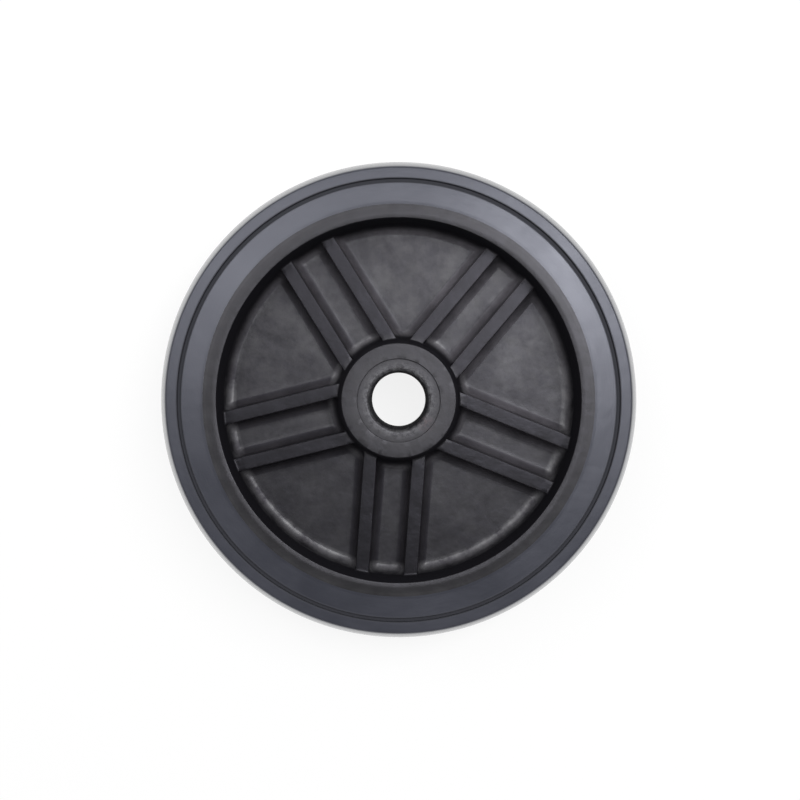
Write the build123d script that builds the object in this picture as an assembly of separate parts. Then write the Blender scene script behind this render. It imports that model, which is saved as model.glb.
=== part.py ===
from build123d import *
from math import radians, sqrt, tan
import os

# Compressor wheel: a solid rubber tyre moulded round a one-piece plastic hub.
# The axle's axis is Z, and Z = 0 is the middle plane: both faces are alike.
# Lengths are in millimetres and angles in degrees.

# Tyre
wheel_diameter = 152.0
tyre_thickness = 15.8
crown_rise = 4.3
sidewall_slope = 5.0
bead_width = 0.8
bead_slope = 8.0
shoulder_round = 0.7
groove_inset = 4.1
groove_width = 1.2
groove_floor_width = 0.9
groove_depth = 0.8
parting_ridge_height = 0.15
parting_ridge_root = 0.9
parting_ridge_crest = 0.3

# Rim of the hub
rim_face_spacing = 38.0
rim_face_width = 4.2
rim_face_slope = 2.0
rim_edge_width = 1.1
rim_edge_slope = 5.0
flange_height = 2.0
flange_thickness = 2.4
rim_draft = 3.0
lip_round = 0.5

# Boss of the hub, and its bore
boss_diameter = 35.2
boss_projection = 1.0
boss_draft = 7.5
boss_round = 0.3
bore_diameter = 18.0
bore_round = 1.1
counterbore_diameter = 25.4
counterbore_depth = 0.8
counterbore_round = 0.2

# Web of the hub
web_thickness = 5.0
rim_foot_fillet = 2.5
boss_foot_fillet = 2.8

# Ribs of the hub: pairs of parallel ribs, one each side of a line from the centre
pair_count = 5
first_pair_angle = 49.9
rib_spacing_per_boss_diameter = 0.4347
rib_width = 4.1
rib_draft = 5.0
rib_depth_below_lip = 10.0
rib_root_fillet = 2.6
rib_root_overlap = 0.03
rib_edge_round = 0.25
rib_end_fillet = 0.8

# Heights above the middle plane
face_height = rim_face_spacing / 2
flange_underside = face_height - flange_thickness
boss_height = face_height + boss_projection
rib_height = face_height - rib_depth_below_lip
web_height = web_thickness / 2

# Radii that the pieces share
bore_radius = bore_diameter / 2
boss_radius = boss_diameter / 2
rim_radius = wheel_diameter / 2 - tyre_thickness
barrel_radius = rim_radius - flange_height
opening_radius = rim_radius - rim_face_width
bead_radius = rim_radius + bead_width
rim_bend_radius = rim_radius - rim_edge_width

# Heights where the rim's face bends, where it meets the tyre, and where the tyre's bead ends
rim_bend_height = face_height - (rim_face_width - rim_edge_width) * tan(radians(rim_face_slope))
seam_height = rim_bend_height - rim_edge_width * tan(radians(rim_edge_slope))
bead_height = seam_height - bead_width * tan(radians(bead_slope))


def sidewall_height(radius):
    """Height of the tyre's sidewall at a radius: it falls away from the bead to the shoulder."""
    return bead_height - (radius - bead_radius) * tan(radians(sidewall_slope))


def boss_wall_radius(height):
    """Radius of the boss's drafted wall at a height."""
    return boss_radius + (boss_height - height) * tan(radians(boss_draft))


def rim_wall_radius(height):
    """Radius of the rim's drafted inner wall at a height."""
    return opening_radius - (face_height - height) * tan(radians(rim_draft))


def whole_outline(upper_half):
    """An outline's upper half, followed by its mirror image below the middle plane."""
    lower_half = [(radius, -height) for radius, height in reversed(upper_half)]
    return upper_half + lower_half


def round_corner(section, place, size):
    """Rounds the corner of a section that is nearest to a place."""
    corner = section.vertices().sort_by_distance(Vector(*place))[0]
    return fillet(corner, size)


def round_both_halves(section, rounds):
    """Rounds corners in a section's upper half, and the corners that mirror them in its lower half."""
    for (radius, height), size in rounds.items():
        section = round_corner(section, (radius, height), size)
        section = round_corner(section, (radius, -height), size)
    return section


def make_tyre():
    """Solid rubber ring: crowned tread, grooved sidewalls, and an inside that fills the rim."""
    shoulder_radius = wheel_diameter / 2 - crown_rise
    crown_radius = wheel_diameter / 2 - parting_ridge_height
    groove_radius = shoulder_radius - groove_inset
    groove_inner = groove_radius - groove_width / 2
    groove_outer = groove_radius + groove_width / 2
    groove_floor = sidewall_height(groove_radius) - groove_depth
    shoulder = (shoulder_radius, sidewall_height(shoulder_radius))
    outline = whole_outline([
        shoulder,
        (groove_outer, sidewall_height(groove_outer)),
        (groove_radius + groove_floor_width / 2, groove_floor),
        (groove_radius - groove_floor_width / 2, groove_floor),
        (groove_inner, sidewall_height(groove_inner)),
        (bead_radius, bead_height),
        (rim_radius, seam_height),
        (rim_radius, flange_underside),
        (barrel_radius, flange_underside),
    ])
    crown = ThreePointArc(outline[-1], (crown_radius, 0), outline[0])
    section = make_face(Polyline(*outline).edges() + crown.edges())
    section = round_both_halves(section, {shoulder: shoulder_round})
    ridge = Polyline(
        (barrel_radius, -parting_ridge_root / 2),
        (crown_radius, -parting_ridge_root / 2),
        (crown_radius + parting_ridge_height, -parting_ridge_crest / 2),
        (crown_radius + parting_ridge_height, parting_ridge_crest / 2),
        (crown_radius, parting_ridge_root / 2),
        (barrel_radius, parting_ridge_root / 2),
        close=True,
    )
    section += make_face(ridge.edges())
    return revolve(Plane.XZ * section, Axis.Z)


def make_turned_hub():
    """Turned form of the hub: crowned rim, web and boss, with drafted walls and rounded corners."""
    counterbore_radius = counterbore_diameter / 2
    counterbore_floor = boss_height - counterbore_depth
    bore_edge = (bore_radius, counterbore_floor)
    counterbore_edge = (counterbore_radius, boss_height)
    boss_edge = (boss_radius, boss_height)
    boss_foot = (boss_wall_radius(web_height), web_height)
    rim_foot = (rim_wall_radius(web_height), web_height)
    lip = (opening_radius, face_height)
    outline = whole_outline([
        bore_edge,
        (counterbore_radius, counterbore_floor),
        counterbore_edge,
        boss_edge,
        boss_foot,
        rim_foot,
        lip,
        (rim_bend_radius, rim_bend_height),
        (rim_radius, seam_height),
        (rim_radius, flange_underside),
        (barrel_radius, flange_underside),
    ])
    section = make_face(Polyline(*outline, close=True).edges())
    rounds = {
        bore_edge: bore_round,
        counterbore_edge: counterbore_round,
        boss_edge: boss_round,
        boss_foot: boss_foot_fillet,
        rim_foot: rim_foot_fillet,
        lip: lip_round,
    }
    return revolve(Plane.XZ * round_both_halves(section, rounds), Axis.Z)


def make_rib_section():
    """Section across a rib and the rib behind it: drafted sides, flared roots and rounded top edges.

    The flared roots end a little below the web's surface, so that they cross it cleanly.
    """
    root_height = web_height - rib_root_overlap
    top_half = rib_width / 2
    foot_half = top_half + (rib_height - root_height) * tan(radians(rib_draft))
    right_side = whole_outline([
        (top_half, rib_height),
        (foot_half, root_height),
        (foot_half + rib_root_fillet, root_height),
    ])
    left_side = [(-across, height) for across, height in reversed(right_side)]
    section = make_face(Polyline(*right_side, *left_side, close=True).edges())
    for side in (1, -1):
        rounds = {
            (side * foot_half, root_height): rib_root_fillet,
            (side * top_half, rib_height): rib_edge_round,
        }
        section = round_both_halves(section, rounds)
    return section


def make_ribs():
    """All the ribs, each with the one behind it, from inside the boss to inside the rim."""
    offset = boss_radius * rib_spacing_per_boss_diameter
    start_radius = (bore_radius + boss_radius) / 2
    end_radius = (rim_wall_radius(rib_height) + barrel_radius) / 2
    start = sqrt(max(start_radius**2 - offset**2, 0))
    end = sqrt(end_radius**2 - offset**2)
    across_rib = Plane(origin=(start, 0, 0), x_dir=(0, 1, 0), z_dir=(1, 0, 0))
    rib = extrude(across_rib * make_rib_section(), amount=end - start)
    return [
        Rot(0, 0, first_pair_angle + pair * 360 / pair_count) * Pos(0, side * offset, 0) * rib
        for pair in range(pair_count)
        for side in (1, -1)
    ]


def make_hub():
    """One-piece hub: the turned form with its ribs, and a small fillet where each rib's top ends."""
    hub = make_turned_hub() + make_ribs()
    rib_ends = [
        edge
        for edge in hub.edges().filter_by(GeomType.CIRCLE)
        if abs(abs(edge.center().Z) - rib_height) < rib_root_overlap
    ]
    return fillet(rib_ends, rib_end_fillet)


pieces = {"tyre": make_tyre(), "hub": make_hub()}

os.makedirs("parts", exist_ok=True)
for name, piece in pieces.items():
    export_step(piece, f"parts/{name}.step")
    print(name, round(piece.volume / 1000, 1), "cubic centimetres")
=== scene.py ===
"""Studio scene of a compressor wheel: a solid rubber tyre on a one-piece ribbed plastic hub."""
import logging
import math
from collections.abc import Callable, Sequence
from dataclasses import dataclass, field
from enum import Enum
from typing import NamedTuple

import bpy
import numpy as np
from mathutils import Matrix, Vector


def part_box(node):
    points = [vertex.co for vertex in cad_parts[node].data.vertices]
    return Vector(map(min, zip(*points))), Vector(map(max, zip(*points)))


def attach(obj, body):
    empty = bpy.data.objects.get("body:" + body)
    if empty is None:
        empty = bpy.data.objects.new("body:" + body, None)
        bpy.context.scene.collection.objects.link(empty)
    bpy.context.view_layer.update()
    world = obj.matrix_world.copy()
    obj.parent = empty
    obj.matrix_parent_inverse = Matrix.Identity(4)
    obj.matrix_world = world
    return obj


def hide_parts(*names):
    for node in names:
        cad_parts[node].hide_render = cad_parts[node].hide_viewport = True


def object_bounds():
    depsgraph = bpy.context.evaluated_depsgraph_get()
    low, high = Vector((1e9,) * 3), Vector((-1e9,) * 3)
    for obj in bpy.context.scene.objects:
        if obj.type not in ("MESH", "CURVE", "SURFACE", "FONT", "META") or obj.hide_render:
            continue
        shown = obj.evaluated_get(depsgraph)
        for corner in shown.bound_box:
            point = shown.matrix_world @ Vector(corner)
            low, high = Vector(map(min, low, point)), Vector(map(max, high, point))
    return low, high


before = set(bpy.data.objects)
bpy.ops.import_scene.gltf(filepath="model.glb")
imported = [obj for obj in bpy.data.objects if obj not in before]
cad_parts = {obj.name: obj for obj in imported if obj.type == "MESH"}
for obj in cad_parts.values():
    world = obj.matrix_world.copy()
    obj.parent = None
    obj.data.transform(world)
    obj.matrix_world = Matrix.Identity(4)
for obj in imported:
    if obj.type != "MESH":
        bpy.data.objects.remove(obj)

CAD_BOX = [list(corner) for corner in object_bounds()]
MM = 0.001
BODY = "root"
log = logging.getLogger("wheel")

Points = np.ndarray
Colour = tuple[float, float, float]
Place = tuple[float, float, float]
Socket = bpy.types.NodeSocket
Sockets = dict[str, Socket]

# The angle past which an edge stays sharp
SHARP_ANGLE = math.radians(40)

# The turn of each step along a rounded corner, and along one whose rounding is small, in millimetres
ARC_STEP = math.radians(11)
SMALL_ARC_STEP = math.radians(22)
SMALL_ROUNDING = 0.5

# How often the search for the height of the ribbed surface halves its interval
HALVINGS = 30

# What a place is multiplied by to drop its height
LEVEL = (1, 1, 0)


class Corner(NamedTuple):
    """A corner of an outline, in millimetres.

    Attributes:
        radius: how far it is from the axle's line.
        height: how far it is above the middle plane.
        rounding: the radius that rounds it.
        step: the longest step along the straight run that follows it.
    """

    radius: float
    height: float
    rounding: float = 0.0
    step: float = 2.0


def corner_arc(before: Points, corner: Points, after: Points, rounding: float) -> Points:
    """Rounds a corner between two straight runs with a tangent arc.

    The arc leaves each run at the rounding divided by the tangent of half the opening, and a point on
    it is the centre plus the two end rays, weighted by the sines of what is left and what is done of
    the turn.

    Args:
        before: the point before the corner, as (radius, height).
        corner: the corner itself.
        after: the point after it.
        rounding: the arc's radius; nought keeps the corner sharp.

    Returns:
        The arc's points in order, or the corner alone.
    """
    if rounding <= 0:
        return corner[None]
    back = (before - corner) / np.linalg.norm(before - corner)
    onward = (after - corner) / np.linalg.norm(after - corner)
    opening = math.acos(np.clip(back @ onward, -1, 1))
    middle = (back + onward) / np.linalg.norm(back + onward)
    centre = corner + middle * rounding / math.sin(opening / 2)
    reach = rounding / math.tan(opening / 2)
    start = corner + back * reach - centre
    end = corner + onward * reach - centre
    turn = math.pi - opening
    steps = max(3, round(turn / (ARC_STEP if rounding > SMALL_ROUNDING else SMALL_ARC_STEP)))
    done = np.linspace(0, turn, steps + 1)[:, None]
    return centre + (start * np.sin(turn - done) + end * np.sin(done)) / math.sin(turn)


def rounded_path(corners: Sequence[Corner]) -> Points:
    """Samples a path of straight runs joined by tangent arcs.

    Args:
        corners: the path's corners in order; the first and the last are its ends.

    Returns:
        An array of (radius, height) points, with no straight step longer than its corner's step.
    """
    places = np.array([corner[:2] for corner in corners])
    arcs = [
        corner_arc(places[i - 1], places[i], places[i + 1], corners[i].rounding)
        for i in range(1, len(corners) - 1)
    ]
    arcs = [places[:1], *arcs, places[-1:]]
    runs = []
    for corner, arc, following in zip(corners, arcs, arcs[1:]):
        length = np.linalg.norm(following[0] - arc[-1])
        steps = max(1, math.ceil(length / corner.step))
        runs += [arc[:-1], np.linspace(arc[-1], following[0], steps, endpoint=False)]
    return np.vstack([*runs, arcs[-1]])


def ring_mesh(name: str, upper: Points) -> bpy.types.Object:
    """Makes a closed ring-shaped mesh of the upper half of its surface.

    The lower half is the upper half's mirror image below the middle plane, and the two share their
    first and last rows.

    Args:
        name: the piece's name.
        upper: points of shape (rows, columns, 3) in millimetres. Rows run outwards over the section
            from the middle plane to the middle plane, and columns run round the axle.

    Returns:
        The new object, smooth, with its faces pointing outwards.
    """
    lower = upper[-2:0:-1] * (1, 1, -1)
    grid = np.concatenate([upper, lower]) * MM
    rows, columns = grid.shape[:2]
    index = np.arange(rows * columns).reshape(rows, columns)
    next_row = np.roll(index, -1, axis=0)
    quads = np.stack([index, next_row, np.roll(next_row, -1, axis=1), np.roll(index, -1, axis=1)], axis=-1)
    mesh = bpy.data.meshes.new(name)
    mesh.from_pydata(grid.reshape(-1, 3).tolist(), [], quads.reshape(-1, 4).tolist())
    mesh.shade_smooth()
    mesh.set_sharp_from_angle(angle=SHARP_ANGLE)
    piece = bpy.data.objects.new(name, mesh)
    bpy.context.scene.collection.objects.link(piece)
    normals = piece.modifiers.new("even_shading", "WEIGHTED_NORMAL")
    normals.keep_sharp = True
    return piece


def turned(outline: Points, angles: Points) -> Points:
    """Carries an outline round the axle: a point is its radius times the cosine and sine, and its height.

    Args:
        outline: (radius, height) points in millimetres.
        angles: the columns' angles in radians, the same for every row or one row of them for each.

    Returns:
        Points of shape (rows, columns, 3).
    """
    radius, height = outline[:, :1], outline[:, 1:]
    angles = np.broadcast_to(angles, (len(outline), np.shape(angles)[-1]))
    return np.stack([radius * np.cos(angles), radius * np.sin(angles), height + 0 * angles], axis=-1)


def rounded_meeting(rounding: Points | float, *gaps: Points) -> Points:
    """Joins the gaps to several surfaces into the gap to their union with rounded inside corners.

    The result is the rounding less the length of the vector of what each gap falls short of it, so it
    is nought on a quarter circle where two surfaces meet at a right angle.

    Args:
        rounding: the inside corners' radius.
        *gaps: the distance to each surface, negative inside it.

    Returns:
        The distance to the joined surface, or the rounding wherever all the gaps are larger.
    """
    short = [np.maximum(rounding - gap, 0) ** 2 for gap in gaps]
    return rounding - np.sqrt(np.sum(np.broadcast_arrays(*short), axis=0))


class Ease(Enum):
    """How a ramp goes from its start to its end."""

    STEADY = "LINEAR"
    SMOOTH = "SMOOTHSTEP"


class Ramp(NamedTuple):
    """How one value follows another: it goes from low to high, and keeps to them outside.

    Attributes:
        start: the value that gives low.
        end: the value that gives high.
        low: the result at the start.
        high: the result at the end.
        ease: how it goes from one to the other.
    """

    start: float
    end: float
    low: float = 0.0
    high: float = 1.0
    ease: Ease = Ease.STEADY


# Nearly all of a noise lies between these values
NOISE_SPAN = Ramp(0.3, 0.7)


class Graph:
    """Adds and joins the nodes of one node tree."""

    def __init__(self, tree: bpy.types.NodeTree) -> None:
        """Keeps the tree and empties it.

        Args:
            tree: a material's, world's or group's node tree.
        """
        self.tree = tree
        tree.nodes.clear()

    def add(self, kind: str, inputs: dict | None = None, **settings: object) -> bpy.types.Node:
        """Adds a node.

        Args:
            kind: the node's type name.
            inputs: a value or an output socket for each input, by name or number.
            **settings: properties of the node.

        Returns:
            The new node.
        """
        node = self.tree.nodes.new(kind)
        for name, value in settings.items():
            setattr(node, name, value)
        for name, value in (inputs or {}).items():
            socket = node.inputs[name]
            if isinstance(value, bpy.types.NodeSocket):
                self.tree.links.new(value, socket)
            else:
                socket.default_value = value
        return node

    def math(self, operation: str, *values: object, clamp: bool = False) -> Socket:
        """Adds a Math node and returns its output."""
        inputs = dict(enumerate(values))
        return self.add("ShaderNodeMath", inputs, operation=operation, use_clamp=clamp).outputs[0]

    def product(self, first: object, *others: object) -> Socket:
        """Multiplies values, with a Math node for each after the first.

        Args:
            first: a value or an output socket.
            *others: more of them.

        Returns:
            The product's socket.
        """
        for other in others:
            first = self.math("MULTIPLY", first, other)
        return first

    def vector_math(self, operation: str, *vectors: object, **named: object) -> Socket:
        """Adds a Vector Math node.

        Args:
            operation: the node's operation.
            *vectors: a vector or an output socket for each input.
            **named: inputs that have a name of their own, such as Scale.

        Returns:
            The resulting vector's socket, or the number's where the operation gives one.
        """
        inputs = {**dict(enumerate(vectors)), **named}
        node = self.add("ShaderNodeVectorMath", inputs, operation=operation)
        gives_number = operation in ("DISTANCE", "DOT_PRODUCT", "LENGTH")
        return node.outputs["Value" if gives_number else "Vector"]

    def remap(self, value: object, ramp: Ramp) -> Socket:
        """Carries a value over a ramp and returns the result."""
        inputs = {0: value, 1: ramp.start, 2: ramp.end, 3: ramp.low, 4: ramp.high}
        return self.add("ShaderNodeMapRange", inputs, interpolation_type=ramp.ease.value).outputs[0]

    def mix(self, share: object, first: object, second: object) -> Socket:
        """Mixes two numbers by a share: nought gives the first and one the second."""
        return self.add("ShaderNodeMapRange", {0: share, 3: first, 4: second}).outputs[0]

    def noise(self, vector: Socket, scale: float | Socket, detail: float, roughness: float) -> Socket:
        """Adds a noise texture and returns its value, from 0 to 1 and mostly near a half."""
        inputs = {"Vector": vector, "Scale": scale, "Detail": detail, "Roughness": roughness}
        return self.add("ShaderNodeTexNoise", inputs).outputs[0]

    def blend(self, share: object, first: object, second: object) -> Socket:
        """Mixes two colours by a share.

        Args:
            share: nought gives the first colour and one the second.
            first: a colour or a colour socket.
            second: a colour or a colour socket.

        Returns:
            The mixed colour's socket.
        """
        colours = {name: (*value, 1.0) if isinstance(value, tuple) else value
                   for name, value in ((6, first), (7, second))}
        return self.add("ShaderNodeMix", {0: share, **colours}, data_type="RGBA").outputs[2]

    def bumps(self, *heights: tuple[Socket, float]) -> Socket:
        """Turns heights into a normal, with a Bump node for each.

        Args:
            *heights: each height's socket, and what a height of 1 stands for, in metres.

        Returns:
            The normal's socket.
        """
        normal = {}
        for height, depth in heights:
            inputs = {"Height": height, "Distance": depth, "Strength": 1.0, **normal}
            normal = {"Normal": self.add("ShaderNodeBump", inputs).outputs[0]}
        return normal["Normal"]

    def group(self, tree: bpy.types.NodeTree, **inputs: object) -> bpy.types.Node:
        """Adds a node group, with each input named in lower case and with _ for a space."""
        named = {name.replace("_", " ").title(): value for name, value in inputs.items()}
        return self.add("ShaderNodeGroup", named, node_tree=tree)


def node_group(build: Callable[[Graph, Sockets], Sockets], vector: str, *numbers: str) -> bpy.types.NodeTree:
    """Makes a shader node group, named after the function that fills it.

    Args:
        build: given the graph and the inputs by name, adds the nodes and returns the outputs by name.
        vector: the name of the input that is a vector.
        *numbers: the names of the inputs that are numbers.

    Returns:
        The new group.
    """
    tree = bpy.data.node_groups.new(build.__name__, "ShaderNodeTree")
    tree.interface.new_socket(name=vector, in_out="INPUT", socket_type="NodeSocketVector")
    for label in numbers:
        tree.interface.new_socket(name=label, in_out="INPUT", socket_type="NodeSocketFloat")
    graph = Graph(tree)
    given = graph.add("NodeGroupInput").outputs
    results = build(graph, {label: given[label] for label in (vector, *numbers)})
    for label in results:
        tree.interface.new_socket(name=label, in_out="OUTPUT", socket_type="NodeSocketFloat")
    graph.add("NodeGroupOutput", results)
    return tree


def axle_distance(graph: Graph, vector: Socket) -> Socket:
    """Adds the length of a place's level part, which is its distance from the axle's line."""
    return graph.vector_math("LENGTH", graph.vector_math("MULTIPLY", vector, LEVEL))


def mould_grain(graph: Graph, given: Sockets) -> Sockets:
    """Adds a mould's fine grain, and the broad unevenness of a moulding that shrank as it set.

    Args:
        graph: the group's graph.
        given: the inputs by name.

    Returns:
        The outputs by name.
    """
    grain = graph.noise(given["Vector"], given["Grain Scale"], detail=3.0, roughness=0.6)
    cloud = graph.noise(given["Vector"], given["Cloud Scale"], detail=3.0, roughness=0.55)
    return {"Grain": grain, "Cloud": graph.remap(cloud, NOISE_SPAN)}


def settled_dust(graph: Graph, given: Sockets) -> Sockets:
    """Adds patchy dust: full below the level, gone a fade above it, and less on what is steep.

    Args:
        graph: the group's graph.
        given: the inputs by name.

    Returns:
        The outputs by name.
    """
    height = graph.add("ShaderNodeSeparateXYZ", {0: given["Vector"]}).outputs[2]
    above = graph.math("SUBTRACT", graph.math("ABSOLUTE", height), given["Level"])
    low = graph.math("SUBTRACT", 1.0, graph.math("DIVIDE", above, given["Fade"]), clamp=True)
    patches = graph.noise(given["Vector"], given["Patch Scale"], detail=5.0, roughness=0.62)
    patchy = graph.remap(patches, Ramp(0.32, 0.68, low=0.45))
    return {"Mask": graph.product(low, patchy, graph.math("SUBTRACT", 1.0, given["Steepness"]))}


def steepness(graph: Graph, given: Sockets) -> Sockets:
    """Takes the normal's rise from one: nought where it lies level, and one where it is upright."""
    rise = graph.add("ShaderNodeSeparateXYZ", {0: given["Normal"]}).outputs[2]
    return {"Steepness": graph.math("SUBTRACT", 1.0, graph.math("ABSOLUTE", rise), clamp=True)}


def axle_ring(graph: Graph, given: Sockets) -> Sockets:
    """Adds a ring round the axle: one at the radius, and nought from a width either side of it.

    Args:
        graph: the group's graph.
        given: the inputs by name.

    Returns:
        The outputs by name.
    """
    apart = graph.math("SUBTRACT", axle_distance(graph, given["Vector"]), given["Radius"])
    share = graph.math("DIVIDE", graph.math("ABSOLUTE", apart), given["Width"])
    return {"Mask": graph.math("SUBTRACT", 1.0, share, clamp=True)}


def turned_marks(graph: Graph, given: Sockets) -> Sockets:
    """Adds fine marks that run round the axle.

    They are noise at a place made of the direction from the axle, times Around, and the radius, times
    Out.

    Args:
        graph: the group's graph.
        given: the inputs by name.

    Returns:
        The outputs by name.
    """
    heading = graph.vector_math("NORMALIZE", graph.vector_math("MULTIPLY", given["Vector"], LEVEL))
    around = graph.vector_math("SCALE", heading, Scale=given["Around"])
    out = graph.math("MULTIPLY", axle_distance(graph, given["Vector"]), given["Out"])
    lifted = graph.add("ShaderNodeCombineXYZ", {2: out}).outputs[0]
    place = graph.vector_math("ADD", around, lifted)
    return {"Marks": graph.noise(place, scale=1.0, detail=4.0, roughness=0.65)}


@dataclass(frozen=True)
class Effects:
    """The node groups that the finishes share."""

    grain: bpy.types.NodeTree
    dust: bpy.types.NodeTree
    steepness: bpy.types.NodeTree
    ring: bpy.types.NodeTree
    marks: bpy.types.NodeTree

    @classmethod
    def build(cls) -> "Effects":
        """Makes each group once."""
        return cls(
            grain=node_group(mould_grain, "Vector", "Grain Scale", "Cloud Scale"),
            dust=node_group(settled_dust, "Vector", "Steepness", "Level", "Fade", "Patch Scale"),
            steepness=node_group(steepness, "Normal"),
            ring=node_group(axle_ring, "Vector", "Radius", "Width"),
            marks=node_group(turned_marks, "Vector", "Around", "Out"),
        )


@dataclass(frozen=True)
class Band:
    """A soft ring round the axle, in metres.

    Attributes:
        radius: where it is strongest.
        width: how far it reaches either side of that.
        gain: what it is multiplied by, before it is limited to 1.
    """

    radius: float
    width: float
    gain: float = 1.0

    def mask(self, graph: Graph, effects: Effects, place: Socket) -> Socket:
        """Adds the ring to a material.

        Args:
            graph: the material's graph.
            effects: the shared node groups.
            place: the place on the piece.

        Returns:
            The socket of its mask, from 0 to 1.
        """
        ring = graph.group(effects.ring, vector=place, radius=self.radius, width=self.width)
        return graph.math("MULTIPLY", ring.outputs[0], self.gain, clamp=True)


def new_material(name: str) -> tuple[bpy.types.Material, Graph]:
    """Makes a material, and the graph that its nodes are added to.

    Args:
        name: the material's name.

    Returns:
        The material and its graph.
    """
    material = bpy.data.materials.new(name)
    material.use_nodes = True
    return material, Graph(material.node_tree)


class PlasticMasks(NamedTuple):
    """Sockets that the plastic's colour, coat and roughness share.

    Attributes:
        place: the place on the piece, in metres.
        steep: how steep the surface is, from 0 to 1.
        ribs: the ring that the ribs cross.
        flanks: the ribs' sides and their flared roots.
        feet: the fillets at the feet of the rim and the boss, kept to where the lamps light them, where they
            are painted lighter as painted highlights.
        dust: where dust lies.
        shade_down_face: painted shade: a share that falls off down the face, thinning the dust film and its
            gloss.
        blotches: an uneven pattern, mostly near a half.
        shiny_and_highlit_spots: shiny spots on the feet, glossier and painted lighter as painted highlights.
        lit_side: how far the place is towards the lit side, in metres.
        facing_up: how far the surface faces up the face, from -1 to 1.
    """

    place: Socket
    steep: Socket
    ribs: Socket
    flanks: Socket
    feet: Socket
    dust: Socket
    shade_down_face: Socket
    blotches: Socket
    shiny_and_highlit_spots: Socket
    lit_side: Socket
    facing_up: Socket


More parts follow.
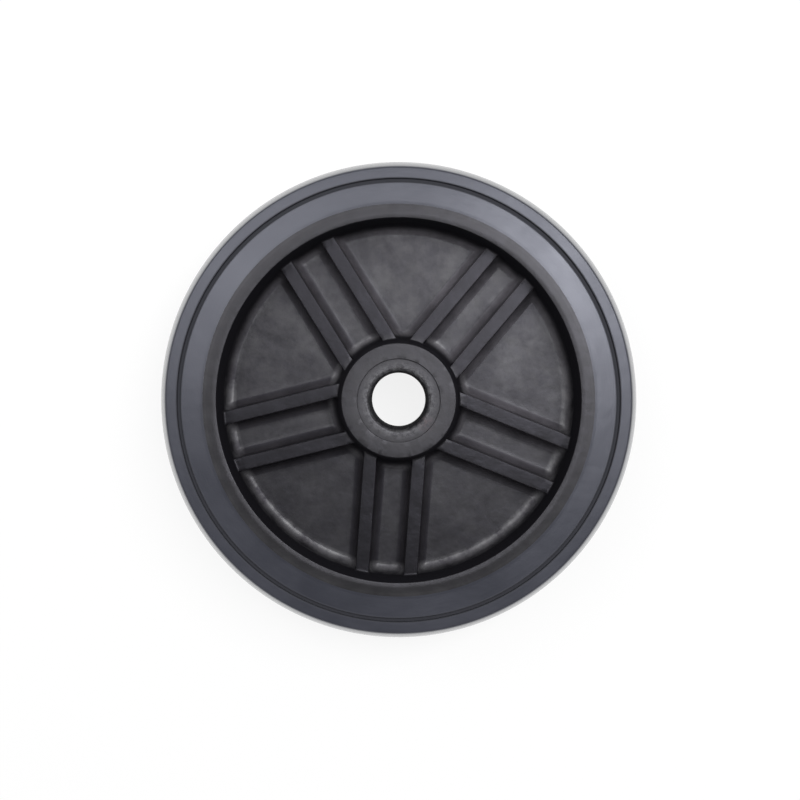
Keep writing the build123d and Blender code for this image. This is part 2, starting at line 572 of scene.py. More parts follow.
@dataclass(frozen=True)
class BlackPlastic:
    """Black moulded plastic: fine grain, dust in the pockets, light wear, dull rubbed faces, and painted
    light, shade and highlights.

    Places and lengths are in metres, and up the face is +Y. A film is the share of dust colour in the colour,
    which on the flanks and the feet is partly painted light, and a coat is the share of gloss.
    """

    # Colours, of which the dust's, the rubbed and the worn ones also carry painted light and highlights, and
    # the tint of the plastic's own reflections
    base_colour: Colour = (0.0050, 0.0047, 0.0058)
    dust_and_light_colour: Colour = (0.116, 0.110, 0.124)
    rubbed_and_highlight_colour: Colour = (0.055, 0.054, 0.056)
    worn_and_highlight_colour: Colour = (0.10, 0.10, 0.105)
    stain_colour: Colour = (0.060, 0.034, 0.034)
    tint: Colour = (0.82, 0.80, 1.0)

    # Roughness of clean, dusty and upright plastic and of the ribs' flanks, and how far it varies
    roughness: float = 0.34
    dusty_roughness: float = 0.37
    wall_roughness: float = 1.0
    flank_roughness: float = 0.5
    unevenness: float = 0.035

    # Gloss of the plastic, of the coat on it, and how much coat each kind of surface has
    ior: float = 1.25
    coat_ior: float = 1.5
    coat_roughness: float = 0.37
    coat: float = 0.33
    rib_coat: float = 0.17
    dusty_coat: Ramp = Ramp(0.34, 0.66, -0.06, 0.38)
    flank_coat: Ramp = Ramp(-0.025, 0.040, 0.0, 0.2)
    walls: Ramp = Ramp(0.6, 0.95)

    # Grain: the noises' scales, and the depth of their bumps
    grain_scale: float = 2600.0
    cloud_scale: float = 130.0
    grain_depth: float = 0.000022
    cloud_depth: float = 0.00012

    # Dust: where it lies, how much of the colour it takes, and painted shade that thins it down the face
    dust_level: float = 0.0027
    dust_fade: float = 0.0015
    flank_fade: float = 0.018
    dust_patches: float = 95.0
    rib_shelter: float = 0.25
    # Painted shade: less dust film down the face, so darker towards the bottom
    shade_down_face: Ramp = Ramp(-0.024, 0.014, 0.66, 1.0, Ease.SMOOTH)
    web_film: float = 0.108
    # Share of dust colour painted on the feet: a painted highlight
    foot_painted_highlight: float = 0.9
    # The flanks' film grows towards the lit side and where they face up: painted light
    flank_dust_and_light: Ramp = Ramp(-0.015, 0.040, 0.34, 1.0)
    flank_light_facing: Ramp = Ramp(-0.8, 0.8, 0.8, 1.25)
    flank_steepness: Ramp = Ramp(0.1, 0.75, 0.8, 1.3)
    blotch_scale: float = 170.0

    # The ribs and their flanks, the side that is lit, and the way that faces up
    ribs: Band = Band(0.0378, 0.0180, gain=12.0)
    flank_start: Ramp = Ramp(0.001, 0.03)
    lit_way: Place = (0.766, 0.643, 0.0)
    up_way: Place = (0.1, 1.0, 0.0)

    # Gloss and painted highlights at the feet of the rim and the boss: how they vary up the face, to where
    # the lamps light them, and their shiny spots
    rim_foot: Band = Band(0.0538, 0.0020)
    boss_foot: Band = Band(0.0216, 0.0014)
    # Painted highlight: the rim's foot only low on the face and the boss's foot mostly high, where the lamps
    # light them
    rim_foot_share: Ramp = Ramp(-0.004, 0.020, 1.0, 0.2, Ease.SMOOTH)
    boss_foot_share: Ramp = Ramp(-0.004, 0.006, 0.3, 1.0, Ease.SMOOTH)
    foot_height: Ramp = Ramp(0.0062, 0.0078, 1.0, 0.0)
    gleam_gain: float = 1.6
    gleam_spots: Ramp = Ramp(0.36, 0.6)
    # Share of the wear colour painted on the shiny spots: a painted highlight
    highlight_paint: float = 0.45

    # Rubbed faces of the boss and the rim, and a painted highlight along the rim's edge, whose patches lie at
    # any height
    boss_face: Band = Band(0.0120, 0.0065, gain=1.1)
    rim_face: Band = Band(0.0598, 0.0050, gain=0.8)
    # A thin lighter line along the rim's edge by the tyre: a painted highlight
    rim_edge_highlight: Band = Band(0.0600, 0.0010, gain=0.8)
    any_height: float = 0.1
    rubbed_patches: float = 160.0
    rubbing: float = 0.5

    # Worn edge of the bore, and a faint stain beside it
    bore_edge: Band = Band(0.0101, 0.0022)
    marks_around: float = 14.0
    marks_out: float = 5200.0
    marks_share: Ramp = Ramp(0.3, 0.7, 0.7, 1.3)
    smudge_scale: float = 700.0
    scuffs: Ramp = Ramp(0.38, 0.60)
    bore_wear: float = 0.75
    stain_place: Place = (0.0083, -0.0070, 0.0196)
    stain_reach: Ramp = Ramp(0.0030, 0.0008)
    stain_patches: Ramp = Ramp(0.4, 0.6)
    stain_depth: float = 0.6

    def masks(self, graph: Graph, effects: Effects) -> PlasticMasks:
        """Adds what the colour, coat and roughness share.

        Args:
            graph: the material's graph.
            effects: the shared node groups.

        Returns:
            The shared sockets.
        """
        coordinates = graph.add("ShaderNodeTexCoord").outputs
        place, facing = coordinates["Object"], coordinates["Normal"]
        steep = graph.group(effects.steepness, normal=facing).outputs[0]
        up, height = graph.add("ShaderNodeSeparateXYZ", {0: place}).outputs[1:3]
        ribs = self.ribs.mask(graph, effects, place)
        flanks = graph.product(ribs, graph.remap(steep, self.flank_start))
        rim_foot = self.rim_foot.mask(graph, effects, place)
        boss_foot = self.boss_foot.mask(graph, effects, place)
        # Painted highlight: the feet are kept to where the lamps light them
        rim_foot = graph.product(rim_foot, graph.remap(up, self.rim_foot_share))
        boss_foot = graph.product(boss_foot, graph.remap(up, self.boss_foot_share))
        low = graph.remap(graph.math("ABSOLUTE", height), self.foot_height)
        feet = graph.product(graph.math("ADD", rim_foot, boss_foot), low)
        shelter = graph.product(steep, graph.mix(ribs, 1.0, self.rib_shelter))
        fade = graph.mix(flanks, self.dust_fade, self.flank_fade)
        dust = graph.group(effects.dust, vector=place, steepness=shelter, level=self.dust_level, fade=fade,
                           patch_scale=self.dust_patches).outputs[0]
        blotches = graph.noise(place, self.blotch_scale, detail=4.0, roughness=0.65)
        shine = graph.math("MULTIPLY", feet, self.gleam_gain, clamp=True)
        return PlasticMasks(
            place=place,
            steep=steep,
            ribs=ribs,
            flanks=flanks,
            feet=feet,
            dust=dust,
            shade_down_face=graph.remap(up, self.shade_down_face),
            blotches=blotches,
            shiny_and_highlit_spots=graph.product(shine, graph.remap(blotches, self.gleam_spots)),
            lit_side=graph.vector_math("DOT_PRODUCT", place, self.lit_way),
            facing_up=graph.vector_math("DOT_PRODUCT", facing, self.up_way),
        )

    def dusty_and_lit_colour(self, graph: Graph, masks: PlasticMasks) -> Socket:
        """Adds the colour of the plastic under its dust, with painted light on the flanks, painted shade down
        the face, and painted highlights on the feet and their shiny spots.

        Args:
            graph: the material's graph.
            masks: the shared sockets.

        Returns:
            The colour's socket.
        """
        # Painted light: the flanks' film is lighter towards the lit side and where they face up
        flank_dust_and_light = graph.product(
            graph.remap(masks.lit_side, self.flank_dust_and_light),
            graph.remap(masks.facing_up, self.flank_light_facing),
            graph.remap(masks.steep, self.flank_steepness),
        )
        # Painted highlight: the feet take a near-full film
        film = graph.mix(masks.flanks, self.web_film, graph.mix(masks.feet, flank_dust_and_light, self.foot_painted_highlight))
        # Painted shade: the film thins down the face
        film = graph.product(masks.dust, film, masks.shade_down_face)
        colour = graph.blend(film, self.base_colour, self.dust_and_light_colour)
        # Painted highlight: the shiny spots on the feet are lightened with the wear colour
        return graph.blend(graph.product(masks.shiny_and_highlit_spots, self.highlight_paint), colour, self.worn_and_highlight_colour)

    def worn_faces(self, graph: Graph, effects: Effects, masks: PlasticMasks, colour: Socket) -> Socket:
        """Adds the rubbed faces, a painted highlight along the rim's edge, the worn edge of the bore and the
        stain to a colour.

        Args:
            graph: the material's graph.
            effects: the shared node groups.
            masks: the shared sockets.
            colour: the colour without them.

        Returns:
            The new colour's socket.
        """
        place = masks.place
        boss_face, rim_face, rim_edge_highlight, bore_edge = (
            band.mask(graph, effects, place)
            for band in (self.boss_face, self.rim_face, self.rim_edge_highlight, self.bore_edge)
        )
        # Rubbed faces, and a painted highlight along the rim's edge
        faces = graph.math("ADD", boss_face, graph.math("ADD", rim_face, rim_edge_highlight), clamp=True)
        handled = graph.group(effects.dust, vector=place, steepness=masks.steep, level=self.any_height,
                              fade=self.any_height, patch_scale=self.rubbed_patches).outputs[0]
        colour = graph.blend(graph.product(handled, faces, self.rubbing), colour, self.rubbed_and_highlight_colour)
        marks = graph.group(effects.marks, vector=place, around=self.marks_around, out=self.marks_out)
        smudge = graph.noise(place, self.smudge_scale, detail=4.0, roughness=0.7)
        streaks = graph.product(smudge, graph.remap(marks.outputs[0], self.marks_share))
        worn = graph.product(graph.remap(streaks, self.scuffs), bore_edge, self.bore_wear)
        colour = graph.blend(worn, colour, self.worn_and_highlight_colour)
        spot = graph.remap(graph.vector_math("DISTANCE", place, self.stain_place), self.stain_reach)
        stained = graph.product(spot, graph.remap(smudge, self.stain_patches), self.stain_depth)
        return graph.blend(stained, colour, self.stain_colour)

    def coat_weight(self, graph: Graph, masks: PlasticMasks) -> Socket:
        """Adds the share of gloss: more on dust and shiny spots, less on ribs, and none on walls.

        Args:
            graph: the material's graph.
            masks: the shared sockets.

        Returns:
            The share's socket.
        """
        bare_ribs = graph.product(masks.ribs, graph.math("SUBTRACT", 1.0, masks.dust))
        dusty = graph.product(masks.dust, masks.shade_down_face, graph.remap(masks.blotches, self.dusty_coat))
        coat = graph.math("ADD", graph.mix(bare_ribs, self.coat, self.rib_coat), dusty)
        coat = graph.mix(masks.flanks, coat, graph.remap(masks.lit_side, self.flank_coat))
        coat = graph.mix(graph.remap(masks.steep, self.walls), coat, 0.0)
        return graph.mix(masks.shiny_and_highlit_spots, coat, 1.0)

    def material(self, effects: Effects) -> bpy.types.Material:
        """Builds the material.

        Args:
            effects: the shared node groups.

        Returns:
            The new material.
        """
        material, graph = new_material("black_moulded_plastic")
        masks = self.masks(graph, effects)
        colour = self.worn_faces(graph, effects, masks, self.dusty_and_lit_colour(graph, masks))
        grain, cloud = graph.group(effects.grain, vector=masks.place, grain_scale=self.grain_scale,
                                   cloud_scale=self.cloud_scale).outputs
        rough = graph.mix(masks.dust, self.roughness, self.dusty_roughness)
        rough = graph.mix(masks.steep, rough, self.wall_roughness)
        rough = graph.mix(masks.flanks, rough, self.flank_roughness)
        rough = graph.math("ADD", rough, graph.mix(cloud, -self.unevenness, self.unevenness))
        shader = graph.add("ShaderNodeBsdfPrincipled", {
            "Base Color": colour,
            "Roughness": rough,
            "Normal": graph.bumps((cloud, self.cloud_depth), (grain, self.grain_depth)),
            "IOR": self.ior,
            "Specular Tint": (*self.tint, 1.0),
            "Coat Weight": self.coat_weight(graph, masks),
            "Coat Roughness": self.coat_roughness,
            "Coat IOR": self.coat_ior,
        })
        graph.add("ShaderNodeOutputMaterial", {0: shader.outputs[0]})
        return material


@dataclass(frozen=True)
class BlackRubber:
    """Black moulded rubber: a blue-grey bloom in patches, and faint marks that run round the sidewall.

    Lengths are in metres. The tread has a coat of its own, and the groove is dull and painted darker as
    painted shade.
    """

    # Colours, with painted shade for the groove, the share of bloom in its patches, and the tint of the
    # rubber's own reflections
    base_colour: Colour = (0.0155, 0.0165, 0.0235)
    bloom_colour: Colour = (0.030, 0.031, 0.041)
    groove_shade_colour: Colour = (0.006, 0.006, 0.008)
    bloom: float = 0.55
    tint: Colour = (0.86, 0.88, 1.0)

    # Gloss: roughness without and with bloom, what is added near the groove, and the tread's coat
    ior: float = 1.7
    roughness: float = 0.35
    bloom_roughness: float = 0.43
    outer_roughness: Ramp = Ramp(0.0665, 0.0690, 0.0, 0.04)
    groove_roughness: float = 0.8
    coat_ior: float = 1.5
    coat_roughness: float = 0.2

    # Places: the groove, and where the tread starts
    groove: Band = Band(0.0676, 0.0011, gain=2.5)
    tread: Ramp = Ramp(0.0719, 0.0724, ease=Ease.SMOOTH)

    # Grain and marks: the noises' scales, their contrast, and the depth of their bumps
    grain_scale: float = 1900.0
    cloud_scale: float = 55.0
    marks_around: float = 9.0
    marks_out: float = 1400.0
    marks_share: Ramp = Ramp(0.35, 0.65, 0.6, 1.0)
    grain_depth: float = 0.000018
    cloud_depth: float = 0.00010
    marks_depth: float = 0.000012

    def material(self, effects: Effects) -> bpy.types.Material:
        """Builds the material.

        Args:
            effects: the shared node groups.

        Returns:
            The new material.
        """
        material, graph = new_material("black_moulded_rubber")
        place = graph.add("ShaderNodeTexCoord").outputs["Object"]
        grain, cloud = graph.group(effects.grain, vector=place, grain_scale=self.grain_scale,
                                   cloud_scale=self.cloud_scale).outputs
        marks = graph.group(effects.marks, vector=place, around=self.marks_around,
                            out=self.marks_out).outputs[0]
        radius = axle_distance(graph, place)
        groove = self.groove.mask(graph, effects, place)
        patches = graph.product(cloud, graph.remap(marks, self.marks_share))
        colour = graph.blend(graph.product(patches, self.bloom), self.base_colour, self.bloom_colour)
        rough = graph.mix(patches, self.roughness, self.bloom_roughness)
        rough = graph.math("ADD", rough, graph.remap(radius, self.outer_roughness))
        depths = (self.cloud_depth, self.marks_depth, self.grain_depth)
        shader = graph.add("ShaderNodeBsdfPrincipled", {
            # Painted shade: the groove is darkened
            "Base Color": graph.blend(groove, colour, self.groove_shade_colour),
            "Roughness": graph.mix(groove, rough, self.groove_roughness),
            "Normal": graph.bumps(*zip((cloud, marks, grain), depths)),
            "IOR": self.ior,
            "Specular Tint": (*self.tint, 1.0),
            "Coat Weight": graph.remap(radius, self.tread),
            "Coat Roughness": self.coat_roughness,
            "Coat IOR": self.coat_ior,
        })
        graph.add("ShaderNodeOutputMaterial", {0: shader.outputs[0]})
        return material


@dataclass(frozen=True)
class Hub:
    """One-piece plastic hub: rim, web, boss and pairs of ribs. Lengths are in millimetres."""

    # Rim: its face has a soft lip at the opening and a bend near the tyre
    rim_radius: float = field(default_factory=lambda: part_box("hub")[1].x / MM)
    face_height: float = 19.0
    face_slope: float = math.radians(2)
    opening_radius: float = 56.0
    lip_round: float = 0.2
    lip_width: float = 1.3
    lip_slope: float = math.radians(7)
    lip_bend: float = 6.0
    edge_width: float = 1.1
    edge_slope: float = math.radians(3.5)
    edge_bend: float = 6.0
    flange_underside: float = 16.6
    barrel_radius: float = 58.2
    rim_draft: float = math.radians(3)

    # Boss and its bore
    boss_height: float = field(default_factory=lambda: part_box("hub")[1].z / MM)
    boss_radius: float = 17.6
    boss_round: float = 0.3
    boss_draft: float = math.radians(7.5)
    bore_radius: float = 9.0
    bore_round: float = 1.1
    counterbore_radius: float = 12.7
    counterbore_depth: float = 0.8
    counterbore_round: float = 0.2

    # Web
    web_height: float = 2.5
    rim_foot_fillet: float = 2.5
    boss_foot_fillet: float = 2.8

    # Ribs: the fillet at the root shrinks to the one at the top over the fade
    pair_count: int = 5
    first_pair_angle: float = math.radians(49.9)
    rib_offset: float = 7.65
    rib_height: float = 9.0
    rib_half_width: float = 2.05
    rib_draft: float = math.radians(5)
    rib_edge_round: float = 0.25
    rib_root_fillet: float = 2.6
    rib_end_fillet: float = 0.6
    rib_fillet_fade: float = 3.0

    # Columns of the mesh: between a pair's ribs, in a wide pocket, and the roots' share of a narrow one
    middle_columns: int = 3
    pocket_columns: int = 8
    root_share: float = 0.75

    @property
    def ribs_end(self) -> float:
        """Height above which no rib, nor the fillet where it ends, touches a wall."""
        return self.rib_height + 2 * self.rib_end_fillet

    @property
    def half_sector(self) -> float:
        """Angle from a pair's axis to the middle of the wide pocket beside it."""
        return math.pi / self.pair_count

    @property
    def bend_radius(self) -> float:
        """Radius where the rim's face bends near the tyre."""
        return self.rim_radius - self.edge_width

    @property
    def bend_height(self) -> float:
        """Height where the rim's face bends near the tyre."""
        face_width = self.bend_radius - self.opening_radius - self.lip_width
        return self.face_height - face_width * math.tan(self.face_slope)

    @property
    def seam_height(self) -> float:
        """Height where the rim's face meets the tyre."""
        return self.bend_height - self.edge_width * math.tan(self.edge_slope)

    def boss_wall(self, height: Points | float) -> Points | float:
        """Radius of the boss's drafted wall at a height."""
        return self.boss_radius + (self.boss_height - height) * math.tan(self.boss_draft)

    def rim_wall(self, height: Points | float) -> Points | float:
        """Radius of the rim's drafted inner wall at a height."""
        return self.opening_radius - (self.face_height - height) * math.tan(self.rim_draft)

    def rib_half(self, height: Points | float) -> Points | float:
        """Half the width of a drafted rib at a height."""
        return self.rib_half_width + (self.rib_height - height) * math.tan(self.rib_draft)

    def outline(self) -> Points:
        """Upper half of the turned form, from the bore round to the barrel.

        Returns:
            The (radius, height) points.
        """
        floor = self.boss_height - self.counterbore_depth
        lip_height = self.face_height - self.lip_width * math.tan(self.lip_slope)
        return rounded_path([
            Corner(self.bore_radius, 0, step=9),
            Corner(self.bore_radius, floor, self.bore_round, step=1.3),
            Corner(self.counterbore_radius, floor),
            Corner(self.counterbore_radius, self.boss_height, self.counterbore_round, step=1.6),
            Corner(self.boss_radius, self.boss_height, self.boss_round),
            Corner(self.boss_wall(self.ribs_end), self.ribs_end, step=0.8),
            Corner(self.boss_wall(self.web_height), self.web_height, self.boss_foot_fillet, step=1.7),
            Corner(self.rim_wall(self.web_height), self.web_height, self.rim_foot_fillet, step=0.8),
            Corner(self.rim_wall(self.ribs_end), self.ribs_end),
            Corner(self.opening_radius, lip_height, self.lip_round, step=0.4),
            Corner(self.opening_radius + self.lip_width, self.face_height, self.lip_bend, step=1.0),
            Corner(self.bend_radius, self.bend_height, self.edge_bend, step=0.6),
            Corner(self.rim_radius, self.seam_height),
            Corner(self.rim_radius, self.flange_underside),
            Corner(self.barrel_radius, self.flange_underside, step=8),
            Corner(self.barrel_radius, 0),
        ])

    def column_angles(self, radius: Points) -> Points:
        """Angles of the columns from a pair's axis to the middle of the wide pocket beside it.

        The columns follow lines alongside the rib, each at the arc sine of its distance from the axis
        over the radius. Past the rib's outer side its flared root is squeezed where the pocket is
        narrow, and the rest of the pocket is divided evenly.

        Args:
            radius: each row's radius.

        Returns:
            Angles in radians, of shape (rows, columns).
        """
        root = self.rib_half(self.web_height)
        section = rounded_path([
            Corner(0, self.rib_height, step=1),
            Corner(self.rib_half_width, self.rib_height, self.rib_edge_round, step=2.3),
            Corner(root, self.web_height, self.rib_root_fillet),
            Corner(root + self.rib_root_fillet, self.web_height),
        ])
        offsets = section[:-1, 0]
        inner = self.rib_offset - offsets[::-1]
        middle = np.linspace(0, inner[0], self.middle_columns, endpoint=False)
        across = np.concatenate([middle, inner, self.rib_offset + offsets[1:]])
        reach = np.clip(radius, self.boss_wall(self.rib_height), self.rim_wall(self.rib_height))[:, None]
        angles = np.arcsin(across / reach)
        foot = np.arcsin((self.rib_offset + self.rib_half(self.web_height + self.rib_root_fillet)) / reach)
        squeeze = np.minimum(1, self.root_share * (self.half_sector - foot) / (angles[:, -1:] - foot))
        angles = np.where(angles > foot, foot + (angles - foot) * squeeze, angles)
        rest = np.linspace(angles[:, -1], self.half_sector, self.pocket_columns + 1, axis=1)[:, 1:]
        return np.concatenate([angles, rest], axis=1)

    def gap(self, radius: Points, angle: Points, height: Points) -> Points:
        """Distance above the moulding's surface, in the pockets and over the ribs.

        The web meets the rim's wall and the boss's wall with a fillet each. A rib is a box with
        drafted sides and rounded edges, and it meets the rest with a fillet that is large at its root
        and small at its top.

        Args:
            radius: distance from the axle's line.
            angle: angle from the pair's axis.
            height: height above the middle plane.

        Returns:
            The distance, negative inside the plastic.
        """
        floor = height - self.web_height
        rim = (self.rim_wall(height) - radius) * math.cos(self.rim_draft)
        boss = (radius - self.boss_wall(height)) * math.cos(self.boss_draft)
        turned_form = np.where(rim < boss, rounded_meeting(self.rim_foot_fillet, floor, rim),
                               rounded_meeting(self.boss_foot_fillet, floor, boss))
        to_ribs = []
        for away in (angle, 2 * self.half_sector - angle):
            across = radius * np.sin(away)
            side = (np.abs(across - self.rib_offset) - self.rib_half(height)) * math.cos(self.rib_draft)
            side, top = side + self.rib_edge_round, height - self.rib_height + self.rib_edge_round
            outside = np.hypot(np.maximum(side, 0), np.maximum(top, 0))
            to_ribs.append(outside + np.minimum(np.maximum(side, top), 0) - self.rib_edge_round)
        climbed = np.clip((height - self.web_height - self.rib_root_fillet) / self.rib_fillet_fade, 0, 1)
        fillet = self.rib_root_fillet + (self.rib_end_fillet - self.rib_root_fillet) * climbed
        return rounded_meeting(fillet, turned_form, *to_ribs)

    def heights(self, radius: Points, angle: Points, turned_height: Points) -> Points:
        """Heights of the moulding's surface: the turned form's, raised where a rib crosses it.

        The surface is where the gap is nought. It is found by halving, again and again, the interval
        from half the web's height to the rim's face.

        Args:
            radius: each row's radius, of shape (rows, 1).
            angle: angles from the pair's axis, of shape (rows, columns).
            turned_height: each row's height on the turned form, of shape (rows, 1).

        Returns:
            Heights of shape (rows, columns).
        """
        low = np.full(angle.shape, self.web_height / 2)
        high = np.full(angle.shape, self.face_height)
        for _ in range(HALVINGS):
            middle = (low + high) / 2
            inside = self.gap(radius, angle, middle) < 0
            low, high = np.where(inside, middle, low), np.where(inside, high, middle)
        between_walls = (radius > self.boss_radius) & (radius < self.opening_radius)
        return np.where(between_walls & (turned_height < self.ribs_end), high, turned_height)

    def surface(self) -> Points:
        """Upper half of the hub's surface: one half sector, its mirror image, and their copies.

        Returns:
            Points of shape (rows, columns, 3) in millimetres.
        """
        outline = self.outline()
        radius, turned_height = outline[:, :1], outline[:, 1:]
        half = self.column_angles(outline[:, 0])
        half_heights = self.heights(radius, half, turned_height)
        sector = np.concatenate([half, 2 * self.half_sector - half[:, -2:0:-1]], axis=1)
        sector_heights = np.concatenate([half_heights, half_heights[:, -2:0:-1]], axis=1)
        starts = self.first_pair_angle + 2 * self.half_sector * np.arange(self.pair_count)
        angles = np.concatenate([sector + start for start in starts], axis=1)
        heights = np.tile(sector_heights, (1, self.pair_count))
        return np.stack([radius * np.cos(angles), radius * np.sin(angles), heights], axis=-1)

    def build(self, finish: bpy.types.Material) -> bpy.types.Object:
        """Makes the hub's mesh and dresses it.

        Args:
            finish: the plastic's material.

        Returns:
            The finished piece.
        """
        piece = ring_mesh("moulded_hub", self.surface())
        piece.data.materials.append(finish)
        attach(piece, BODY)
        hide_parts("hub")
        return piece


@dataclass(frozen=True)
class Tyre:
    """Solid rubber tyre round a hub: grooved sidewalls, crowned tread. Lengths are in millimetres."""

    hub: Hub
    tread_radius: float = field(default_factory=lambda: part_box("tyre")[1].x / MM)
    columns: int = 384

    # Bead beside the rim, and the sidewall
    bead_width: float = 0.8
    bead_slope: float = math.radians(8)
    bead_bend: float = 8.0
    sidewall_slope: float = math.radians(5)
    shoulder_radius: float = 71.7
    shoulder_round: float = 0.7

    # Groove in the sidewall
    groove_radius: float = 67.6
    groove_width: float = 1.2
    groove_floor_width: float = 0.9
    groove_depth: float = 0.8
    groove_round: float = 0.12

    # Crown of the tread and the parting ridge round its middle
    crown_points: int = 20
    ridge_height: float = 0.15
    ridge_root: float = 0.9
    ridge_crest: float = 0.3

    def sidewall(self, radius: float) -> float:
        """Height of the sidewall at a radius: it falls away evenly from the bead to the shoulder."""
        bead_end = self.hub.seam_height - self.bead_width * math.tan(self.bead_slope)
        return bead_end - (radius - self.hub.rim_radius - self.bead_width) * math.tan(self.sidewall_slope)

    def crown(self) -> list[Corner]:
        """Points of the tread from the shoulder to the parting ridge.

        The tread is an arc whose radius is the sum of the squares of its rise and half width, divided
        by twice the rise. Two more points would lie within the shoulder's rounding, so they are left
        out.

        Returns:
            The points, from below the shoulder down to the ridge's root.
        """
        top = self.tread_radius - self.ridge_height
        half_width = self.sidewall(self.shoulder_radius)
        rise = top - self.shoulder_radius
        radius = (rise**2 + half_width**2) / (2 * rise)
        heights = np.linspace(half_width, self.ridge_root / 2, self.crown_points + 2)[2:]
        return [Corner(top - radius + math.sqrt(radius**2 - height**2), height) for height in heights]

    def outline(self) -> Points:
        """Upper half of the section, from inside the rim round to the tread.

        Returns:
            The (radius, height) points.
        """
        hub = self.hub
        inner = self.groove_radius - self.groove_width / 2
        outer = self.groove_radius + self.groove_width / 2
        floor = self.sidewall(self.groove_radius) - self.groove_depth
        half_floor = self.groove_floor_width / 2
        bead_end = hub.rim_radius + self.bead_width
        return rounded_path([
            Corner(hub.barrel_radius, 0, step=6),
            Corner(hub.barrel_radius, hub.flange_underside),
            Corner(hub.rim_radius, hub.flange_underside),
            Corner(hub.rim_radius, hub.seam_height, step=0.6),
            Corner(bead_end, self.sidewall(bead_end), self.bead_bend, step=0.9),
            Corner(inner, self.sidewall(inner), self.groove_round),
            Corner(self.groove_radius - half_floor, floor, self.groove_round),
            Corner(self.groove_radius + half_floor, floor, self.groove_round),
            Corner(outer, self.sidewall(outer), self.groove_round, step=0.9),
            Corner(self.shoulder_radius, self.sidewall(self.shoulder_radius), self.shoulder_round),
            *self.crown(),
            Corner(self.tread_radius, self.ridge_crest / 2),
            Corner(self.tread_radius, 0),
        ])

    def build(self, finish: bpy.types.Material) -> bpy.types.Object:
        """Makes the tyre's mesh and dresses it.

        Args:
            finish: the rubber's material.

        Returns:
            The finished piece.
        """
        angles = np.linspace(0, 2 * math.pi, self.columns, endpoint=False)
        piece = ring_mesh("solid_tyre", turned(self.outline(), angles))
        piece.data.materials.append(finish)
        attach(piece, BODY)
        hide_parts("tyre")
        return piece


@dataclass(frozen=True)
class Softbox:
    """A soft lamp that points at the wheel.

    Attributes:
        name: the lamp's name.
        azimuth: its direction seen from above, in degrees from +X.
        lean: its angle from straight above, in degrees.
        distance: how far it is from the wheel, in metres.
        width: how wide its face is, in metres.
        length: how long its face is, up from the horizon, in metres.
        radiance: how bright its face is.
    """

    name: str
    azimuth: float
    lean: float
    distance: float
    width: float
    length: float
    radiance: float

    def build(self) -> bpy.types.Object:
        """Makes the lamp. Its face is an oval, and its power is its radiance times its area and pi.

        Returns:
            The lamp's object.
        """
        lamp = bpy.data.lights.new(self.name, "AREA")
        lamp.shape = "ELLIPSE"
        lamp.size, lamp.size_y = self.width, self.length
        area = self.width * self.length * math.pi / 4
        lamp.energy = self.radiance * area * math.pi
        azimuth, lean = math.radians(self.azimuth), math.radians(self.lean)
        level = math.sin(lean)
        heading = Vector((level * math.cos(azimuth), level * math.sin(azimuth), math.cos(lean)))
        fixture = bpy.data.objects.new(self.name, lamp)
        fixture.location = heading * self.distance
        fixture.rotation_euler = heading.to_track_quat("Z", "Y").to_euler()
        fixture.visible_camera = False
        bpy.context.scene.collection.objects.link(fixture)
        return fixture


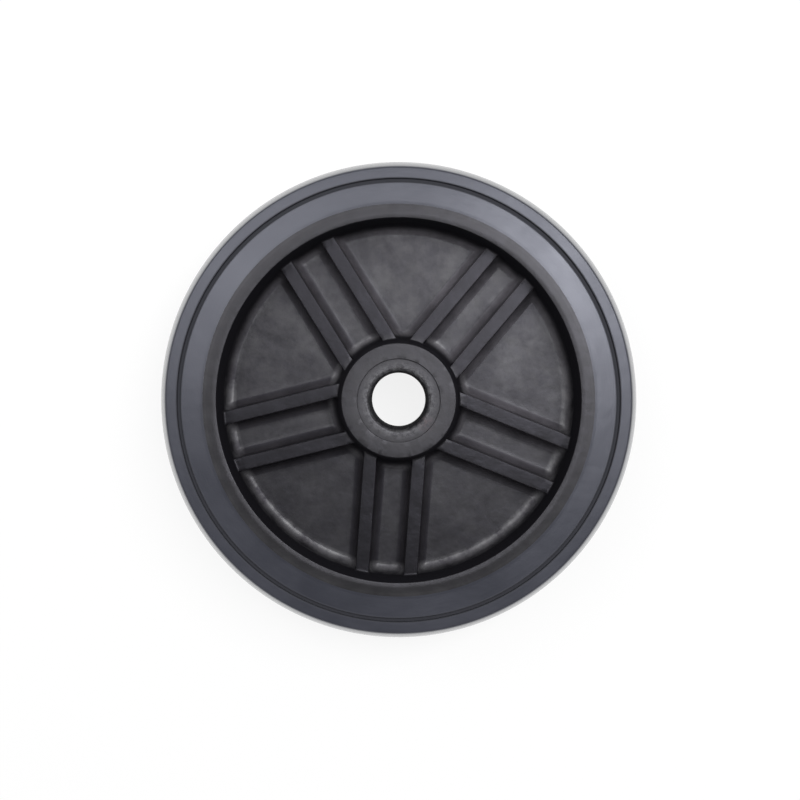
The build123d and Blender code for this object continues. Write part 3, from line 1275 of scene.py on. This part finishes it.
@dataclass(frozen=True)
class Studio:
    """Pale floor, soft light and the camera, which looks down on the wheel's face.

    Attributes:
        face_height: how high the wheel's face is, in metres.
        floor_width: how wide the square floor is, in metres.
        floor_colour: its colour.
        self_lit: the share of its own light in what the camera and reflections see of it.
        camera_height: how far the camera is above the wheel's face, in metres.
        camera_offset: how far it is up the face from the axle's line, in metres.
        lens: its focal length, in millimetres.
        shift: how far its picture is shifted, as shares of its width.
        clip_start: how near it still sees, in metres.
        room: how bright the room is, from the horizon to overhead.
        lamps: the soft lamps.
    """

    face_height: float
    floor_width: float = 2.0
    floor_colour: Colour = (0.9, 0.9, 0.9)
    self_lit: float = 0.85
    camera_height: float = 0.35
    camera_offset: float = 0.0037
    lens: float = 51.43
    shift: tuple[float, float] = (0.0016, 0.0006)
    clip_start: float = 0.01
    room: Ramp = Ramp(0.1, 0.9, 0.8, 0.2, Ease.SMOOTH)
    lamps: tuple[Softbox, ...] = (
        Softbox("key_softbox", azimuth=36, lean=20.5, distance=0.9, width=0.29, length=0.64, radiance=12.6),
        Softbox("fill_softbox", azimuth=140, lean=26, distance=0.9, width=0.42, length=0.56, radiance=4.5),
    )

    def floor_material(self) -> bpy.types.Material:
        """White floor that is mostly self-lit for camera, glossy and transmission rays.

        Returns:
            The new material.
        """
        material, graph = new_material("studio_floor")
        path = graph.add("ShaderNodeLightPath").outputs
        seen = graph.math("MAXIMUM", path["Is Camera Ray"], path["Is Glossy Ray"])
        seen = graph.math("MAXIMUM", seen, path["Is Transmission Ray"])
        share = graph.math("MULTIPLY", seen, self.self_lit)
        diffuse = graph.add("ShaderNodeBsdfDiffuse", {"Color": (*self.floor_colour, 1.0)})
        glow = graph.add("ShaderNodeEmission", {"Strength": 1.0})
        mixed = graph.add("ShaderNodeMixShader", {0: share, 1: diffuse.outputs[0], 2: glow.outputs[0]})
        graph.add("ShaderNodeOutputMaterial", {0: mixed.outputs[0]})
        return material

    def floor(self) -> bpy.types.Object:
        """Makes the floor, level with the lowest point of the wheel.

        Returns:
            The floor's object.
        """
        lowest = CAD_BOX[0][2]
        half = self.floor_width / 2
        corners = [(-half, -half, lowest), (half, -half, lowest), (half, half, lowest), (-half, half, lowest)]
        mesh = bpy.data.meshes.new("floor")
        mesh.from_pydata(corners, [], [(0, 1, 2, 3)])
        mesh.materials.append(self.floor_material())
        floor = bpy.data.objects.new("floor", mesh)
        bpy.context.scene.collection.objects.link(floor)
        return floor

    def world(self) -> None:
        """Lights the scene from all round, and shows plain white behind the floor."""
        world = bpy.data.worlds.new("studio")
        world.use_nodes = True
        bpy.context.scene.world = world
        graph = Graph(world.node_tree)
        heading = graph.add("ShaderNodeTexCoord").outputs["Generated"]
        rise = graph.add("ShaderNodeSeparateXYZ", {0: heading}).outputs[2]
        white = (1, 1, 1, 1)
        room = graph.add("ShaderNodeBackground", {"Color": white, "Strength": graph.remap(rise, self.room)})
        backdrop = graph.add("ShaderNodeBackground", {"Color": white, "Strength": 1.0})
        camera_ray = graph.add("ShaderNodeLightPath").outputs["Is Camera Ray"]
        mixed = graph.add("ShaderNodeMixShader", {0: camera_ray, 1: room.outputs[0], 2: backdrop.outputs[0]})
        graph.add("ShaderNodeOutputWorld", {0: mixed.outputs[0]})

    def camera(self) -> bpy.types.Object:
        """Makes the camera, a little above the axle's line in the picture and aimed at the wheel's face.

        Returns:
            The camera's object.
        """
        data = bpy.data.cameras.new("camera")
        data.lens = self.lens
        data.shift_x, data.shift_y = self.shift
        data.clip_start = self.clip_start
        camera = bpy.data.objects.new("camera", data)
        camera.location = (0, self.camera_offset, self.face_height + self.camera_height)
        camera.rotation_euler = (-math.atan2(self.camera_offset, self.camera_height), 0, 0)
        bpy.context.scene.collection.objects.link(camera)
        bpy.context.scene.camera = camera
        return camera

    def build(self) -> None:
        """Makes the floor, world, lamps and camera."""
        self.floor()
        self.world()
        for lamp in self.lamps:
            lamp.build()
        self.camera()
        bpy.context.scene.view_settings.view_transform = "Standard"


def main() -> None:
    """Builds the studio and the wheel, and reports each piece."""
    logging.basicConfig(level=logging.INFO, format="%(name)s: %(message)s")
    hub = Hub()
    Studio(hub.face_height * MM).build()
    effects = Effects.build()
    pieces = [
        Tyre(hub).build(BlackRubber().material(effects)),
        hub.build(BlackPlastic().material(effects)),
    ]
    for piece in pieces:
        log.info("%s: %d faces", piece.name, len(piece.data.polygons))


if __name__ == "__main__":
    main()
